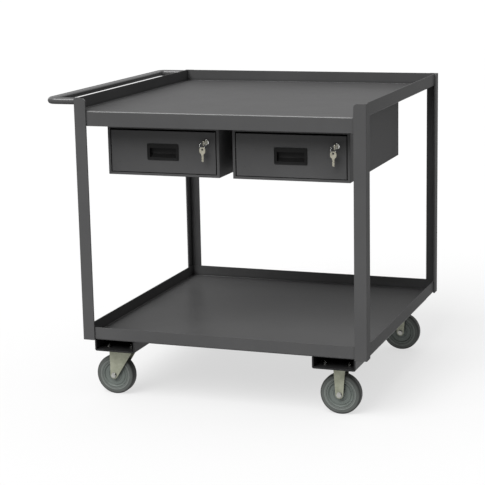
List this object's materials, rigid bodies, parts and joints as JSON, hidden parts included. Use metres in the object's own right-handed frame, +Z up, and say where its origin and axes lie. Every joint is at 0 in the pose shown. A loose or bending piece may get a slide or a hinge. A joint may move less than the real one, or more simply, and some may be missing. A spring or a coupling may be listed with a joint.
{
  "type": "rolling workbench with drawers",
  "caption": "Steel rolling workbench: lipped top and lower shelf on angle posts, side push bar, lockable drawers under the top, and casters.",
  "frame": {"origin": "centre of the object's plan box, on the floor", "axes": "+Z up; -Y is the drawer side; the push bar is on the -X side"},
  "size_m": [1.025, 0.921, 0.953],
  "materials": {
    "frame_paint": "satin dark grey powder coat",
    "channel_paint": "satin near-black powder coat",
    "drawer_paint": "satin dark grey powder coat",
    "slide_steel": "zinc plated, thin oil",
    "zinc_plate": "faintly yellow zinc plate",
    "bright_fastener": "bright zinc",
    "grey_tread": "matt grey non-marking polyurethane",
    "grey_core": "satin grey moulded core",
    "black_plastic": "fine-grained black moulding",
    "chrome_lock": "polished chrome",
    "key_steel": "nickel-plated blank"
  },
  "bodies": {
    "root": {"top_shelf": "frame_paint", "lower_shelf": "frame_paint", "front_left_post": "frame_paint", "front_right_post": "frame_paint", "rear_right_post": "frame_paint", "rear_left_post": "frame_paint", "push_handle": "frame_paint", "left_caster_channel": "channel_paint", "right_caster_channel": "channel_paint", "left_drawer_housing": "frame_paint", "right_drawer_housing": "frame_paint", "caster_bolts": "bright_fastener", "caster_nuts": "bright_fastener", "slide_mounts": "slide_steel", "slide_screws": "bright_fastener", "front_left_caster_plate": "zinc_plate", "front_left_caster_kingpin": "bright_fastener", "rear_left_caster_plate": "zinc_plate", "rear_left_caster_kingpin": "bright_fastener", "front_right_caster_fork": "zinc_plate", "front_right_axle": "bright_fastener", "rear_right_caster_fork": "zinc_plate", "rear_right_axle": "bright_fastener", "left_outer_slides": "slide_steel", "right_outer_slides": "slide_steel"},
    "front_left_swivel": {"front_left_caster_fork": "zinc_plate", "front_left_axle": "bright_fastener"},
    "front_left_wheel": {"front_left_wheel_hub": "grey_core", "front_left_wheel_tyre": "grey_tread"},
    "front_right_wheel": {"front_right_wheel_hub": "grey_core", "front_right_wheel_tyre": "grey_tread"},
    "rear_left_swivel": {"rear_left_caster_fork": "zinc_plate", "rear_left_axle": "bright_fastener"},
    "rear_left_wheel": {"rear_left_wheel_hub": "grey_core", "rear_left_wheel_tyre": "grey_tread"},
    "rear_right_wheel": {"rear_right_wheel_hub": "grey_core", "rear_right_wheel_tyre": "grey_tread"},
    "left_drawer": {"left_drawer_box": "drawer_paint", "left_drawer_front": "frame_paint", "left_drawer_pull": "black_plastic", "left_lock_barrel": "chrome_lock", "left_inner_slides": "slide_steel"},
    "left_slide_middles": {"left_middle_slides": "slide_steel"},
    "left_lock": {"left_lock_plug": "chrome_lock", "left_lock_cam": "key_steel", "left_lock_key": "key_steel"},
    "left_hanging_key": {"left_key_ring": "chrome_lock", "left_spare_key": "key_steel"},
    "right_drawer": {"right_drawer_box": "drawer_paint", "right_drawer_front": "frame_paint", "right_drawer_pull": "black_plastic", "right_lock_barrel": "chrome_lock", "right_inner_slides": "slide_steel"},
    "right_slide_middles": {"right_middle_slides": "slide_steel"},
    "right_lock": {"right_lock_plug": "chrome_lock", "right_lock_cam": "key_steel", "right_lock_key": "key_steel"},
    "right_hanging_key": {"right_key_ring": "chrome_lock", "right_spare_key": "key_steel"}
  },
  "joints": [
    {"name": "front_left_swivel_turn", "type": "hinge", "parent": "root", "child": "front_left_swivel", "pos_m": [-0.3045, -0.3745, 0.143], "axis": [0, 0, 1], "continuous": true},
    {"name": "front_left_wheel_roll", "type": "hinge", "parent": "front_left_swivel", "child": "front_left_wheel", "pos_m": [-0.3375, -0.3745, 0.0635], "axis": [0, 1, 0], "continuous": true},
    {"name": "front_right_wheel_roll", "type": "hinge", "parent": "root", "child": "front_right_wheel", "pos_m": [0.4085, -0.3745, 0.0635], "axis": [0, 1, 0], "continuous": true},
    {"name": "rear_left_swivel_turn", "type": "hinge", "parent": "root", "child": "rear_left_swivel", "pos_m": [-0.3045, 0.3745, 0.143], "axis": [0, 0, 1], "continuous": true},
    {"name": "rear_left_wheel_roll", "type": "hinge", "parent": "rear_left_swivel", "child": "rear_left_wheel", "pos_m": [-0.3375, 0.3745, 0.0635], "axis": [0, 1, 0], "continuous": true},
    {"name": "rear_right_wheel_roll", "type": "hinge", "parent": "root", "child": "rear_right_wheel", "pos_m": [0.4085, 0.3745, 0.0635], "axis": [0, 1, 0], "continuous": true},
    {"name": "left_drawer_slide", "type": "slide", "parent": "root", "child": "left_drawer", "axis": [0, -1, 0], "range_m": [0, 0.45]},
    {"name": "left_middle_slide", "type": "slide", "parent": "root", "child": "left_slide_middles", "axis": [0, -1, 0], "range_m": [0, 0.225]},
    {"name": "left_lock_turn", "type": "hinge", "parent": "left_drawer", "child": "left_lock", "pos_m": [-0.0105, -0.377, 0.8175], "axis": [0, 1, 0], "range_deg": [0, 90]},
    {"name": "left_key_swing", "type": "hinge", "parent": "left_drawer", "child": "left_hanging_key", "pos_m": [-0.0105, -0.396, 0.8175], "axis": [-1, 0, 0], "range_deg": [-5, 30]},
    {"name": "right_drawer_slide", "type": "slide", "parent": "root", "child": "right_drawer", "axis": [0, -1, 0], "range_m": [0, 0.45]},
    {"name": "right_middle_slide", "type": "slide", "parent": "root", "child": "right_slide_middles", "axis": [0, -1, 0], "range_m": [0, 0.225]},
    {"name": "right_lock_turn", "type": "hinge", "parent": "right_drawer", "child": "right_lock", "pos_m": [0.4005, -0.377, 0.8175], "axis": [0, 1, 0], "range_deg": [0, 90]},
    {"name": "right_key_swing", "type": "hinge", "parent": "right_drawer", "child": "right_hanging_key", "pos_m": [0.4005, -0.396, 0.8175], "axis": [-1, 0, 0], "range_deg": [-5, 30]}
  ],
  "couplings": [
    {"joint": "left_middle_slide", "follows": "left_drawer_slide", "ratio": 0.5},
    {"joint": "right_middle_slide", "follows": "right_drawer_slide", "ratio": 0.5}
  ]
}
